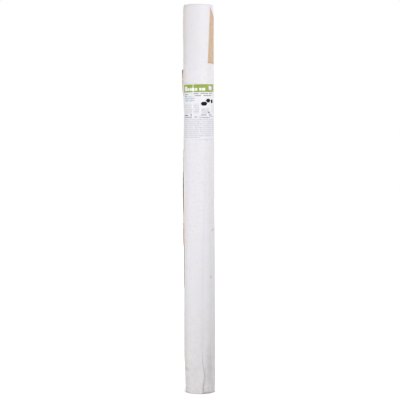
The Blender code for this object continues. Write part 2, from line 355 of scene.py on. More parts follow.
def flap_lift(bearing, height):
    """How far the loose end of the sheet stands off near its free edge."""
    near = ease(1 - (free_edge(height) - bearing) / FLAP_SPAN)
    return EDGE_LIFT * near * near * hump(height / EDGE_LIFT_REACH)


def pressed(bearing, height):
    """How much thinner the sheet is here, near its free edge."""
    run = math.radians(free_edge(height) - bearing) * ROLL_RADIUS
    level = (height - EDGE_PRESSED_FROM) / (EDGE_PRESSED_BY - EDGE_PRESSED_FROM)
    return EDGE_PRESSED * ease(level) * ease(1 - run / EDGE_PRESSED_RUN)


print(f"rim drawn in by {-handled(-90, ROLL_RADIUS, 0) * 1000:.1f} mm at the left foot")

# %% [markdown]
# ## The membrane
# The sheet begins as what it is, a flat strip: a grid from create_grid, as long and as wide as the cut
# sheet. Each point is then rolled up, by turning its share of the length into a running bearing. That
# keeps the sheet's true area, and its flat place stays in the UV map, in metres, for the material.
#
# The inner turns show only at the two ends, so they need few rows. The outer turn gets many, closer
# together towards the crumpled foot. Both grids are in one mesh and meet under the outer turn. A vertex
# group holds each point's share of the sheet's thickness, which the Solidify modifier reads.

# %% Roll a point of the sheet up
# How high the hem stands on the outer turn, and where the turns under it are crumpled up: how high, over
# how many degrees beside the free edge, in how many turns, and how far up the sheet still moves with it
OUTER_HEM_RAISE = 0.003
UNDER_HEM_RAISE = 0.0058
UNDER_HEM_SPAN = 32.0
RAISED_TURNS = 9
HEM_REACH = 0.04
# How far the turns' ends wander up and down, over what height, and how often in a metre of sheet
END_WANDER = 0.0005
END_ROW = 0.02
WANDERS_PER_METRE = 1.9


def hem_raise(bearing):
    """How far the sheet's lower edge stands above the ground at this running bearing."""
    turns_down = (FREE_EDGE_FOOT - bearing) / 360
    under = (turned_by(bearing) - FREE_EDGE_FOOT) / UNDER_HEM_SPAN
    crumpled = UNDER_HEM_RAISE * math.sin(math.pi * min(max(under, 0), 1)) ** 0.5
    crumpled *= ease(1 - (turns_down - 1) / RAISED_TURNS)
    return max(crumpled, OUTER_HEM_RAISE if turns_down < 1 else 0)


def rolled(bearing, height):
    """The sheet's outer face at this running bearing and flat height."""
    radius = wound_radius(bearing)
    lifted = flap_lift(bearing, height) - pressed(bearing, height) if bearing > -FLAP_SPAN else 0
    raised = hem_raise(bearing) * max(0, 1 - height / HEM_REACH) ** 2
    wander = noise.noise(Vector((wound_length(bearing) * WANDERS_PER_METRE, 0.3, 0)))
    at_foot = max(0, 1 - height / END_ROW)
    at_head = max(0, 1 - (ROLL_LENGTH - height) / END_ROW)
    level = height + raised + END_WANDER * (at_foot * (wander + 1) + at_head * (wander - 1))
    return place(bearing, radius + lifted + handled(bearing, radius, height), level)


print(f"hem of the turn under the free edge: {hem_raise(FREE_EDGE_FOOT - 344) * 1000:.1f} mm up")

# %% Lay the grids
INNER_STEP = 6.0
JOINT_BEARING = -405.0
OUTER_COLUMNS = 138
OUTER_ROWS = 192
# Row number and its height: close together at the crumpled foot, and again at the head
ROW_HEIGHTS = ((0, 0), (30, 0.036), (72, 0.200), (180, 1.450), (192, ROLL_LENGTH))
# The real sheet without the air between its turns
WEB_THICKNESS = SHEET_THICKNESS * 0.92
MERGE_DISTANCE = 0.00001


def outer_height(row):
    """Height of this row, from the table above."""
    for (first, low), (last, high) in zip(ROW_HEIGHTS, ROW_HEIGHTS[1:]):
        if row <= last:
            return low + (high - low) * (row - first) / (last - first)


def inner_height(row):
    """Height of one of four rows, two of them close to each end."""
    return (0, END_ROW, ROLL_LENGTH - END_ROW, ROLL_LENGTH)[row]


def add_rolled_grid(bm, uv, weight, columns, rows, bearing_at, height_at):
    """Adds one grid and rolls it up. bearing_at takes the share along and the height."""
    made = bmesh.ops.create_grid(bm, x_segments=columns, y_segments=rows, size=0.5)["verts"]
    flat = {}
    for vert in made:
        height = height_at(round((vert.co.y + 0.5) * rows))
        bearing = bearing_at(vert.co.x + 0.5, height)
        flat[vert] = (wound_length(bearing), height)
        vert.co = rolled(bearing, height)
        vert[weight][0] = 1 - pressed(bearing, height) / WEB_THICKNESS
    for face in {face for vert in made for face in vert.link_faces}:
        for loop in face.loops:
            loop[uv].uv = flat[loop.vert]


def outer_bearing(share, height):
    """Running bearing in the outer grid: it ends at the free edge, wherever that is at this height."""
    return JOINT_BEARING + share * (free_edge(height) - JOINT_BEARING)


def inner_bearing(share, height):
    """Running bearing in the inner grid, from the core to where the outer grid begins."""
    start = FREE_EDGE_HEAD - TURNS * 360
    return start + share * (JOINT_BEARING - start)


bm = bmesh.new()
uv = bm.loops.layers.uv.new("flat_sheet")
weight = bm.verts.layers.deform.verify()
inner_columns = round((JOINT_BEARING - FREE_EDGE_HEAD + TURNS * 360) / INNER_STEP)
add_rolled_grid(bm, uv, weight, inner_columns, 3, inner_bearing, inner_height)
add_rolled_grid(bm, uv, weight, OUTER_COLUMNS, OUTER_ROWS, outer_bearing, outer_height)
bmesh.ops.remove_doubles(bm, verts=bm.verts, dist=MERGE_DISTANCE)
bm.normal_update()
outward = sum(face.normal.dot(Vector((*face.calc_center_median().xy, 0))) > 0 for face in bm.faces)
print(f"{outward} of {len(bm.faces)} faces look outwards")


# %% Finish a piece
def finish_piece(name, bm, material, slot, *nodes):
    """Makes the bmesh a smooth object that rides on the body and stands for these solids."""
    mesh = bpy.data.meshes.new(name)
    bm.to_mesh(mesh)
    bm.free()
    mesh.shade_smooth()
    mesh.materials.append(material)
    piece = bpy.data.objects.new(name, mesh)
    bpy.context.scene.collection.objects.link(piece)
    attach(piece, "root")
    if nodes:
        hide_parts(*nodes)
    return piece


def thicken(piece, thickness):
    """Gives a sheet its thickness, inwards from the face that was modelled."""
    wall = piece.modifiers.new("thickness", "SOLIDIFY")
    wall.thickness = thickness
    wall.offset = -1
    return wall


print(f"the sheet will be {WEB_THICKNESS * 1000:.2f} mm thick")

# %% [markdown]
# ## Spunbonded polypropylene
# The sheet's upper face is a nonwoven: endless polypropylene filaments laid down at random and welded
# together by a roller with small raised points. Close to, one sees filaments and weld dimples. From
# further off the sheet is milky and cloudy, because the filaments lie denser in some places, with faint
# streaks up and down the roll, where it has been handled. A ramp over the roll's height makes it darker and
# warmer towards the foot, and a little darker near the head, with faint stains on it. A table lists single
# spots: painted shade of two creases and a dimple, a darker strip at the foot, and painted warm light along
# the left outline. It has no shine, only a faint bloom at the edges, which Sheen gives.
#
# All patterns read the flat sheet's UV map, which is in metres, so each scale is one over a real size.
# Most finishes need two stacks: colours laid over each other through masks, and bumps raised one on
# another. A loop makes each of them, from a table of its layers.

# %% Sizes of the nonwoven's patterns
WELD_SPACING = 0.0022
# Where a weld's dimple ends and the cloth has its full height, as shares of the spacing
WELD_RIM = (0.15, 0.32)
# A real filament is about 0.02 mm thick. It is drawn coarser, so that it shows close to
FILAMENT_WIDTH = 0.0004
CLOUD_SIZE = 0.012
BLOTCH_SIZE = 0.045
STREAK_WIDTH = 0.005
STREAK_LENGTH = 0.12
CRUMPLE_SIZE = 0.020
STAIN_SIZE = 0.022
# The heights between which stains and crumples fade in, downwards
LOW_FROM, LOW_BY = 0.45, 0.06
# Share of the roll's height, and what the ramp lets through there: darker towards the foot, a little near
# the head
HEIGHT_DARKENING = (
    (0, "#EAE7E1"),
    (0.032, "#EEECE7"),
    (0.09, "#F4F2EC"),
    (0.156, "#F6F4F0"),
    (0.24, "#F8F9F8"),
    (0.34, "#FBFCFC"),
    (0.45, "#FFFFFF"),
    (0.82, "#FFFFFF"),
    (0.87, "#FAFAFA"),
)
# Running bearing and height of the middle, half its length and breadth, slant, what it lets through
SHADE_AND_LIGHT_SPOTS = (
    # Painted shade of two small creases on the right
    (-297.5, 0.636, 0.018, 0.005, -18, "#DBD9DC"),
    (-312.5, 0.455, 0.008, 0.009, 0, "#DEDCDF"),
    # Painted shade of a dimple at the left foot
    (-66, 0.094, 0.030, 0.012, 0, "#EBE8E7"),
    # A darker strip just right of the free edge at the foot
    (-322, 0.110, 0.020, 0.100, 0, "#EEEBEC"),
    # Painted warm light along the left outline, over its whole height
    (-80, 1.320, 0.035, 0.500, 0, "#FFFAF2"),
    (-80, 0.180, 0.035, 0.200, 0, "#FFFAF4"),
    (-75, 1.430, 0.065, 0.230, 0, "#FFFCF8"),
    (-80, 0.720, 0.030, 0.480, 0, "#FBF6EF"),
)
# How many shades the height ramp has, and how many spots of painted shade and light
print(f"{len(HEIGHT_DARKENING)} shades of dirt, {len(SHADE_AND_LIGHT_SPOTS)} smudges")


# %% Stacks of colours and bumps
def paint_layers(material, colour, layers):
    """Lays colours over the first one. Each has a mask, a colour and how it mixes with what is under it."""
    for mask, shade, how in layers:
        sockets = {0: mask, 6: colour, 7: shade}
        colour = add_node(material, "Mix", sockets, data_type="RGBA", blend_type=how).outputs[2]
    return colour


def raise_layers(material, layers):
    """Bumps raised one on another. Each has a pattern, its height in metres and its strength."""
    normal = None
    for pattern, height, strength in layers:
        sockets = {"Height": pattern, "Distance": height, "Strength": strength}
        if normal:
            sockets["Normal"] = normal
        normal = add_node(material, "Bump", sockets).outputs[0]
    return normal


def overlap(material, mask, *others):
    """The overlap of several masks. A number among them weakens it."""
    for other in others:
        mask = add_node(material, "Math", {0: mask, 1: other}, operation="MULTIPLY").outputs[0]
    return mask


print("stacks of colours, stacks of bumps and overlaps of masks can be made")


# %% Colour of the nonwoven
def nonwoven_colour(material, flat, height, low_down, clouds, streaks):
    """Filaments denser and thinner, streaks, pinkish and bluish patches, darker near the foot, stains,
    painted shade and light.
    """
    sockets = {"Vector": flat, "Scale": 1 / BLOTCH_SIZE, "Detail": 3.0}
    blotches = add_node(material, "TexNoise", sockets).outputs[0]
    sockets = {"Vector": flat, "Scale": 1 / STAIN_SIZE, "Detail": 2.0}
    stains = add_node(material, "TexNoise", sockets).outputs[0]
    # A noise stays near a half. Each mask stretches one to the whole range, or from a quarter upwards
    masks = []
    for pattern, low, high, least in (
        (clouds, 0.35, 0.65, 0.0),
        (streaks, 0.3, 0.7, 0.0),
        (blotches, 0.38, 0.62, 0.0),
        (clouds, 0.35, 0.65, 0.25),
        (stains, 0.42, 0.72, 0.0),
    ):
        sockets = {"Value": pattern, "From Min": low, "From Max": high, "To Min": least}
        masks.append(add_node(material, "MapRange", sockets).outputs["Result"])
    cloudy, streaked, blotched, darkening_mask, stained = masks
    hue = paint_layers(material, "#FFFEFD", [(blotched, "#FDFDFF", "MIX")])
    share = add_node(material, "Math", {0: height, 1: 1 / ROLL_LENGTH}, operation="MULTIPLY").outputs[0]
    # Darker and warmer towards the foot, and a little darker near the head, by a ramp over the height
    darkening_stops = [(at, shade, 1) for at, shade in HEIGHT_DARKENING]
    darkening = add_node(material, "ValToRGB", {"Fac": share}, darkening_stops).outputs["Color"]
    layers = [
        (cloudy, "#F6F4F8", "MIX"),
        (streaked, "#F1EFF4", "MIX"),
        (1.0, hue, "MULTIPLY"),
        (darkening_mask, darkening, "MULTIPLY"),
        (overlap(material, stained, low_down), "#F7F7F8", "MULTIPLY"),
    ]
    # Spots: painted shade of creases and a dimple, a darker strip, and painted warm light on the left
    for bearing, level, along, across, slant, shade in SHADE_AND_LIGHT_SPOTS:
        sockets = {
            "Vector": flat,
            "Location": (wound_length(bearing), level, 0),
            "Rotation": (0, 0, math.radians(slant)),
            "Scale": (along, across, 1),
        }
        near = add_node(material, "Mapping", sockets, vector_type="TEXTURE").outputs[0]
        reach = add_node(material, "VectorMath", {0: near}, operation="LENGTH").outputs["Value"]
        inside = add_node(material, "MapRange", {"Value": reach, "From Min": 1.0, "From Max": 0.0})
        layers.append((inside.outputs["Result"], shade, "MULTIPLY"))
    return paint_layers(material, "#EAE8EC", layers)


print("colour of the nonwoven ready")


# %% Relief of the nonwoven, and the finished sheet
def nonwoven_relief(material, flat, low_down, streaks):
    """Crumples at the foot, ripples drawn up and down, weld dimples on a diagonal grid, filaments."""
    sockets = {"Vector": flat, "Scale": 1 / CRUMPLE_SIZE, "Detail": 3.0, "Distortion": 0.8}
    crumples = add_node(material, "TexNoise", sockets).outputs[0]
    diagonal = add_node(material, "Mapping", {"Vector": flat, "Rotation": (0, 0, math.radians(45))})
    sockets = {"Vector": diagonal.outputs[0], "Scale": 1 / WELD_SPACING, "Randomness": 0.0}
    welds = add_node(material, "TexVoronoi", sockets).outputs["Distance"]
    sockets = {"Value": welds, "From Min": WELD_RIM[0], "From Max": WELD_RIM[1]}
    dimples = add_node(material, "MapRange", sockets, interpolation_type="SMOOTHSTEP").outputs["Result"]
    sockets = {"Vector": flat, "Scale": 1 / FILAMENT_WIDTH, "Detail": 3.0, "Distortion": 1.5}
    filaments = add_node(material, "TexNoise", sockets).outputs[0]
    layers = (
        (overlap(material, crumples, low_down), 0.0014, 0.35),
        (streaks, 0.0009, 0.4),
        (dimples, 0.00012, 0.6),
        (filaments, 0.00008, 0.5),
    )
    return raise_layers(material, layers)


def nonwoven():
    """Spunbonded polypropylene: matt, milky white, cloudy, dimpled by its weld points."""
    material, shader = new_material("spunbond_polypropylene")
    flat = add_node(material, "UVMap", uv_map="flat_sheet").outputs["UV"]
    height = add_node(material, "SeparateXYZ", {"Vector": flat}).outputs["Y"]
    low_down = add_node(material, "MapRange", {"Value": height, "From Min": LOW_FROM, "From Max": LOW_BY})
    low_down = low_down.outputs["Result"]
    sockets = {"Vector": flat, "Scale": 1 / CLOUD_SIZE, "Detail": 4.0, "Roughness": 0.6}
    clouds = add_node(material, "TexNoise", sockets).outputs[0]
    sockets = {"Vector": flat, "Scale": (1 / STREAK_WIDTH, 1 / STREAK_LENGTH, 1)}
    drawn = add_node(material, "Mapping", sockets)
    streaks = add_node(material, "TexNoise", {"Vector": drawn.outputs[0], "Scale": 1.0}).outputs[0]
    sockets = {
        "Base Color": nonwoven_colour(material, flat, height, low_down, clouds, streaks),
        "Normal": nonwoven_relief(material, flat, low_down, streaks),
        "Roughness": 0.8,
        "Sheen Weight": 0.12,
        "Sheen Roughness": 0.5,
        "Specular IOR Level": 0.35,
    }
    set_sockets(shader, sockets)
    return material


membrane = finish_piece("membrane_sheet", bm, nonwoven(), "membrane", "membrane")
membrane.vertex_groups.new(name="share_of_thickness")
thicken(membrane, WEB_THICKNESS).vertex_group = "share_of_thickness"
print(f"membrane: {len(membrane.data.polygons)} faces before it gets its thickness")

# %% [markdown]
# ## The core
# The core is wound from strips of grey-brown paperboard that run round it in a steep spiral, glued layer
# on layer. The strips' joints show as fine slanting lines, and the cut ends show the layers. A profile
# with softened edges, spun once round Z, gives the tube. Its long faces are cut into rows, so that it can
# take the bend.

# %% Paperboard
PLY_LEAD = 0.150
PLY_JOINT = 0.0008
PLY_THICKNESS = 0.0006
FIBRE_LENGTH = 0.0012
FLECK_SIZE = 0.009


def paperboard():
    """Spirally wound paperboard: dull, fibrous, with fine joints between its strips."""
    material, shader = new_material("wound_paperboard")
    spot = add_node(material, "TexCoord").outputs["Object"]
    parts = add_node(material, "SeparateXYZ", {"Vector": spot}).outputs
    angle = add_node(material, "Math", {0: parts["Y"], 1: parts["X"]}, operation="ARCTAN2").outputs[0]
    climb = add_node(material, "Math", {0: angle, 1: PLY_LEAD / math.tau}, operation="MULTIPLY").outputs[0]
    slant = add_node(material, "Math", {0: parts["Z"], 1: climb}, operation="ADD").outputs[0]
    ply = add_node(material, "Math", {0: slant, 1: PLY_LEAD, 2: 0.0}, operation="WRAP").outputs[0]
    joint = add_node(material, "Math", {0: ply, 1: 0.0, 2: PLY_JOINT}, operation="COMPARE").outputs[0]
    sockets = {"Vector": spot, "Scale": 1 / FIBRE_LENGTH, "Detail": 5.0, "Roughness": 0.7}
    fibres = add_node(material, "TexNoise", sockets).outputs[0]
    sockets = {"Vector": spot, "Scale": 1 / FLECK_SIZE, "Detail": 3.0}
    flecks = add_node(material, "TexNoise", sockets).outputs[0]
    layers = ((fibres, "#B7A287", "MIX"), (flecks, "#A6957F", "MIX"), (joint, "#6E5B46", "MIX"))
    colour = paint_layers(material, "#8F7A62", layers)
    # On the cut ends the layers show as rings
    reach = add_node(material, "CombineXYZ", {"X": parts["X"], "Y": parts["Y"]}).outputs[0]
    radius = add_node(material, "VectorMath", {0: reach}, operation="LENGTH").outputs["Value"]
    sockets = {0: radius, 1: math.tau / PLY_THICKNESS}
    rings = add_node(material, "Math", sockets, operation="MULTIPLY").outputs[0]
    ringed = add_node(material, "Math", {0: rings}, operation="SINE").outputs[0]
    relief = raise_layers(material, ((ringed, 0.0001, 0.5), (fibres, 0.0001, 0.6)))
    sockets = {"Base Color": colour, "Normal": relief, "Roughness": 0.92, "Specular IOR Level": 0.25}
    set_sockets(shader, sockets)
    return material


print(f"a strip climbs {PLY_LEAD * 1000:.0f} mm a turn")

# %% Core tube
BORE_RADIUS = 0.025
CORE_STEPS = 96
CORE_ROWS = 15
CORE_EDGE = 0.0006
SHARP_ANGLE = 30

bm = bmesh.new()
profile = [
    (BORE_RADIUS, CORE_EDGE),
    (BORE_RADIUS + CORE_EDGE, 0),
    (CORE_RADIUS - CORE_EDGE, 0),
    (CORE_RADIUS, CORE_EDGE),
    (CORE_RADIUS, ROLL_LENGTH - CORE_EDGE),
    (CORE_RADIUS - CORE_EDGE, ROLL_LENGTH),
    (BORE_RADIUS + CORE_EDGE, ROLL_LENGTH),
    (BORE_RADIUS, ROLL_LENGTH - CORE_EDGE),
]
corners = [bm.verts.new((radius, 0, height)) for radius, height in profile]
rim = [bm.edges.new(pair) for pair in zip(corners, corners[1:] + corners[:1])]
bmesh.ops.spin(
    bm,
    geom=corners + rim,
    cent=(0, 0, 0),
    axis=(0, 0, 1),
    angle=math.tau,
    steps=CORE_STEPS,
    use_merge=True,
)
long_edges = [edge for edge in bm.edges if edge.calc_length() > ROLL_LENGTH / 2]
bmesh.ops.subdivide_edges(bm, edges=long_edges, cuts=CORE_ROWS, use_grid_fill=True)
for vert in bm.verts:
    vert.co.x -= bend(vert.co.z)
bmesh.ops.recalc_face_normals(bm, faces=bm.faces)
core = finish_piece("core_board", bm, paperboard(), "core", "core_tube")
core.data.set_sharp_from_angle(angle=math.radians(SHARP_ANGLE))
print(f"core: {len(core.data.polygons)} faces")

# %% [markdown]
# ## Laying a flat sheet on the roll
# The label and the strips of tape are flat sheets that follow the roll. A grid is made in the flat, and
# each point is carried to the bearing that its distance across gives. The radius comes from the roll's
# own surface, with the step at the free edge eased, as paper and film bridge it.

# %% Lay a sheet
STEP_RUN = 0.004
CLEARANCE = 0.00004


def roll_surface(bearing, height):
    """Radius of the roll's outside here, from -180 to 180 degrees."""
    past = math.radians(bearing - free_edge(height)) * ROLL_RADIUS
    stepped = ease(past / STEP_RUN)
    radius = wound_radius(bearing) - SHEET_THICKNESS * stepped
    lifted = flap_lift(bearing, height) * (1 - stepped) if bearing > -FLAP_SPAN else 0
    return radius + lifted + handled(bearing, radius, height)


def core_surface(bearing, height):
    """Radius of the core's outside."""
    return CORE_RADIUS


def laid_sheet(corner, size, lean, grid, thickness, lift=None, end_fall=0, follow=roll_surface):
    """A bmesh of a flat sheet laid on the roll. corner is the bearing and height of its lower left.

    lift says how far it stands off at a share across and up. end_fall is how much shorter its right
    side is than its left one.
    """
    width, height = size
    tilt = math.radians(lean)
    bm = bmesh.new()
    uv = bm.loops.layers.uv.new("flat_sheet")
    bmesh.ops.create_grid(bm, x_segments=grid[0], y_segments=grid[1], size=0.5)
    flat = {}
    for vert in bm.verts:
        across, upward = vert.co.x + 0.5, vert.co.y + 0.5
        along, up = across * width, upward * (height - end_fall * across)
        flat[vert] = (along, up)
        run = along * math.cos(tilt) + up * math.sin(tilt)
        level = corner[1] + up * math.cos(tilt) - along * math.sin(tilt)
        bearing = corner[0] + math.degrees(run / follow(corner[0], corner[1]))
        radius = follow(bearing, level) + CLEARANCE + thickness
        if lift:
            radius += lift(across, upward)
        vert.co = place(bearing, radius, level)
    for face in bm.faces:
        for loop in face.loops:
            loop[uv].uv = flat[loop.vert]
    return bm


print(f"roll surface at the front, mid height: {roll_surface(0, 0.75) * 1000:.2f} mm")

# %% [markdown]
# ## The tape under the first turn
# A strip of double-sided tape holds the sheet's first edge to the core. It is a cream film with a faint
# grain, and nothing of it shows on the wound roll.

# %% Start tape
START_TAPE_BEARING = -45
START_TAPE_WIDTH = 0.025
START_TAPE_MARGIN = 0.020
START_TAPE_THICKNESS = 0.0002
START_TAPE_GRID = (8, 40)
START_TAPE_GRAIN = 0.002

start_film, start_shader = new_material("double_sided_tape")
start_flat = add_node(start_film, "UVMap", uv_map="flat_sheet").outputs["UV"]
sockets = {"Vector": start_flat, "Scale": 1 / START_TAPE_GRAIN, "Detail": 3.0}
start_grain = add_node(start_film, "TexNoise", sockets).outputs[0]
start_colour = paint_layers(start_film, "#D9D2BC", [(start_grain, "#E8E2CE", "MIX")])
set_sockets(start_shader, {"Base Color": start_colour, "Roughness": 0.45})

bm = laid_sheet(
    (START_TAPE_BEARING, START_TAPE_MARGIN),
    (START_TAPE_WIDTH, ROLL_LENGTH - 2 * START_TAPE_MARGIN),
    0,
    START_TAPE_GRID,
    START_TAPE_THICKNESS,
    follow=core_surface,
)
start_tape = finish_piece("start_tape_film", bm, start_film, "start_tape", "start_tape")
thicken(start_tape, START_TAPE_THICKNESS)
print(f"start tape: {len(start_tape.data.polygons)} faces")

# %% [markdown]
# ## The label
# The label is glossy paper, about A5, stuck over the free edge. Its print is plain: a green band with a
# row of white blocks and a white disc, two columns of grey dashes under it, and three black counters. The
# band is varnished, so it shines more than the rest, which Coat gives.
#
# The print is made of masks. A bar is 1 where both flat coordinates lie inside it, and the Compare
# operation tests each with a centre and a half width. A block of type is a bar, cut into rows by a
# repeating ramp and into words by noise along each row. Real type has rows 2.5 mm apart; these are two to
# three times as far apart, so that they still show as rows from where the camera stands. Under them lie
# pale veils, the even grey that fine type gives from further off.

# %% What is printed on the label
MM = 0.001
# Left, foot, right and head in millimetres from the label's lower left corner
GREEN_BAND = (0, 180.8, 152, 210.8)
BAND_BARS = (
    (13, 186.5, 26, 203),
    (28, 186.5, 37, 197),
    (39, 186.5, 48, 197),
    (50, 186.5, 59, 197),
    (61, 186.5, 70, 197),
    (77, 186.5, 86, 197),
    (88, 186.5, 101, 197),
)
# Middle and radii, ink
BAND_DISC = ((125, 195.5), (9.5, 8.5), "#EAE9F2")
GREY_DOT = ((116, 103), (3.2, 3.4), "#4A4852")
# A block's corners, then row pitch, height of one row, inked share of it, word length, ink, its strength
TYPE_BLOCKS = (
    ((57, 173.6, 138, 177.6), 9, 175.6, 0.42, 14, "#55525C", 0.6),
    ((41, 173.8, 57, 176.8), 9, 175.2, 0.4, 9, "#9A97A4", 0.4),
    ((55, 165.7, 89, 170.0), 9, 167.8, 0.45, 16, "#45424C", 0.55),
    ((93, 165.4, 138, 169.6), 9, 167.4, 0.45, 16, "#45424C", 0.58),
    ((10, 170.8, 30, 175.0), 9, 172.9, 0.45, 12, "#3F3D45", 0.6),
    ((10, 163.0, 22, 167.0), 9, 165.0, 0.45, 9, "#4A4852", 0.6),
    ((22, 163.0, 56, 167.0), 9, 165.0, 0.45, 9, "#A9B6CC", 0.5),
    ((13, 146.0, 57, 160.5), 7.6, 157.2, 0.6, 7, "#8FA5C4", 0.55),
    ((6, 118.0, 76, 137.0), 7.6, 129.8, 0.5, 9, "#A5A2AD", 0.3),
    ((6, 100.0, 76, 116.0), 7.6, 106.4, 0.5, 9, "#97949F", 0.35),
    ((6, 91.0, 29, 95.4), 9, 93.1, 0.5, 20, "#2E2C33", 0.75),
    ((40, 91.0, 47, 98.5), 9, 94.8, 0.8, 20, "#5F5C66", 0.5),
    ((7, 83.2, 47, 87.8), 9, 85.5, 0.5, 20, "#7C7984", 0.55),
    ((56, 82.5, 76, 90.0), 9, 86.2, 0.75, 20, "#85828D", 0.45),
    ((3, 7.0, 76, 80.0), 7.6, 54.5, 0.5, 6, "#A09DA8", 0.33),
    ((84, 99.0, 118, 120.0), 5.2, 110.0, 0.6, 8, "#A6A3AE", 0.4),
    ((82, 89.5, 130, 98.0), 9, 93.7, 0.8, 20, "#96939E", 0.5),
    ((123, 85.0, 146, 89.2), 9, 87.1, 0.5, 20, "#96939E", 0.5),
    ((83, 81.7, 120, 86.1), 9, 83.9, 0.5, 10, "#7C7984", 0.55),
    ((84, 8.5, 150, 80.0), 7.6, 61.0, 0.5, 6, "#A09DA8", 0.28),
    ((79.0, 9, 81.8, 91), 7.8, 38.0, 0.5, 400, "#77747F", 0.55),
)
# Pale veils, and how strong each is
VEIL_INK = "#B4B2BC"
VEILS = (
    ((3, 6, 76, 80), 0.10),
    ((84, 8, 150, 80), 0.14),
    ((6, 99, 76, 137), 0.10),
    ((84, 99, 118, 120), 0.14),
    ((128, 99, 148, 134), 0.14),
    ((12, 144, 58, 162), 0.14),
    ((76, 8, 84, 92), 0.16),
)
# Corners of the three black counters, anticlockwise
BLACK_SHAPES = (
    ((81, 136.5), (88, 129), (102, 129), (109, 136.5), (102, 144), (88, 144)),
    ((102, 148), (108, 141), (119, 141), (125, 148), (119, 155), (108, 155)),
    ((127, 141), (130, 138), (137, 138), (140, 141), (140, 149), (137, 152), (130, 152), (127, 149)),
)
print(f"{len(TYPE_BLOCKS)} blocks of type, {len(BLACK_SHAPES)} black counters")

# %% Masks for the print
# What shifts each row's words against the next one's, and the noise above which there is ink
ROW_SHIFT = 7.31
WORD_GAP = 0.42


def bar(material, flat, left, foot, right, head):
    """1 inside a rectangle."""
    parts = add_node(material, "SeparateXYZ", {"Vector": flat}).outputs
    sides = []
    for part, low, high in (("X", left, right), ("Y", foot, head)):
        sockets = {0: parts[part], 1: (low + high) / 2 * MM, 2: (high - low) / 2 * MM}
        sides.append(add_node(material, "Math", sockets, operation="COMPARE").outputs[0])
    return overlap(material, *sides)


def disc(material, flat, centre, radii):
    """1 inside an ellipse."""
    middle = (centre[0] * MM, centre[1] * MM, 0)
    moved = add_node(material, "VectorMath", {0: flat, 1: middle}, operation="SUBTRACT").outputs[0]
    per_radius = (1 / (radii[0] * MM), 1 / (radii[1] * MM), 0)
    scaled = add_node(material, "VectorMath", {0: moved, 1: per_radius}, operation="MULTIPLY").outputs[0]
    reach = add_node(material, "VectorMath", {0: scaled}, operation="LENGTH").outputs["Value"]
    return add_node(material, "Math", {0: reach, 1: 1.0}, operation="LESS_THAN").outputs[0]


def counter(material, flat, corners):
    """1 inside a shape without dents: left of each of its sides."""
    inside = []
    for start, end in zip(corners, corners[1:] + corners[:1]):
        side = (start[1] - end[1], end[0] - start[0], 0)
        leftward = add_node(material, "VectorMath", {0: flat, 1: side}, operation="DOT_PRODUCT")
        level = (start[0] * side[0] + start[1] * side[1]) * MM
        sockets = {0: leftward.outputs["Value"], 1: level}
        inside.append(add_node(material, "Math", sockets, operation="GREATER_THAN").outputs[0])
    return overlap(material, *inside)


def type_rows(material, flat, corners, pitch, row_height, fill, word):
    """Rows of dashes in a bar, one of them at row_height."""
    parts = add_node(material, "SeparateXYZ", {"Vector": flat}).outputs
    sockets = {0: parts["Y"], 1: 1 / (pitch * MM), 2: 0.5 - row_height / pitch}
    row = add_node(material, "Math", sockets, operation="MULTIPLY_ADD").outputs[0]
    along = add_node(material, "Math", {0: row}, operation="FRACT").outputs[0]
    off_middle = add_node(material, "Math", {0: along, 1: 0.5}, operation="SUBTRACT").outputs[0]
    off_middle = add_node(material, "Math", {0: off_middle}, operation="ABSOLUTE").outputs[0]
    inked = add_node(material, "Math", {0: off_middle, 1: fill / 2}, operation="LESS_THAN").outputs[0]
    number = add_node(material, "Math", {0: row}, operation="FLOOR").outputs[0]
    sockets = {0: number, 1: ROW_SHIFT, 2: parts["X"]}
    shifted = add_node(material, "Math", sockets, operation="MULTIPLY_ADD").outputs[0]
    sockets = {"W": shifted, "Scale": 1 / (word * MM)}
    words = add_node(material, "TexNoise", sockets, noise_dimensions="1D").outputs[0]
    dashes = add_node(material, "Math", {0: words, 1: WORD_GAP}, operation="GREATER_THAN").outputs[0]
    return overlap(material, bar(material, flat, *corners), inked, dashes)


print("bars, discs, counters and rows of type ready")

# %% Label
LABEL_WIDTH = 0.1516
LABEL_HEIGHT = 0.216
LABEL_THICKNESS = 0.00013
# Bearing and height of the lower left corner, and lean in degrees
LABEL_CORNER = (-70.0, 0.984)
LABEL_LEAN = -1.0
LABEL_GRID = (72, 48)
PAPER_GRAIN = 0.003
BAND_GRAIN = 0.02
PAPER_RIPPLE = 0.025


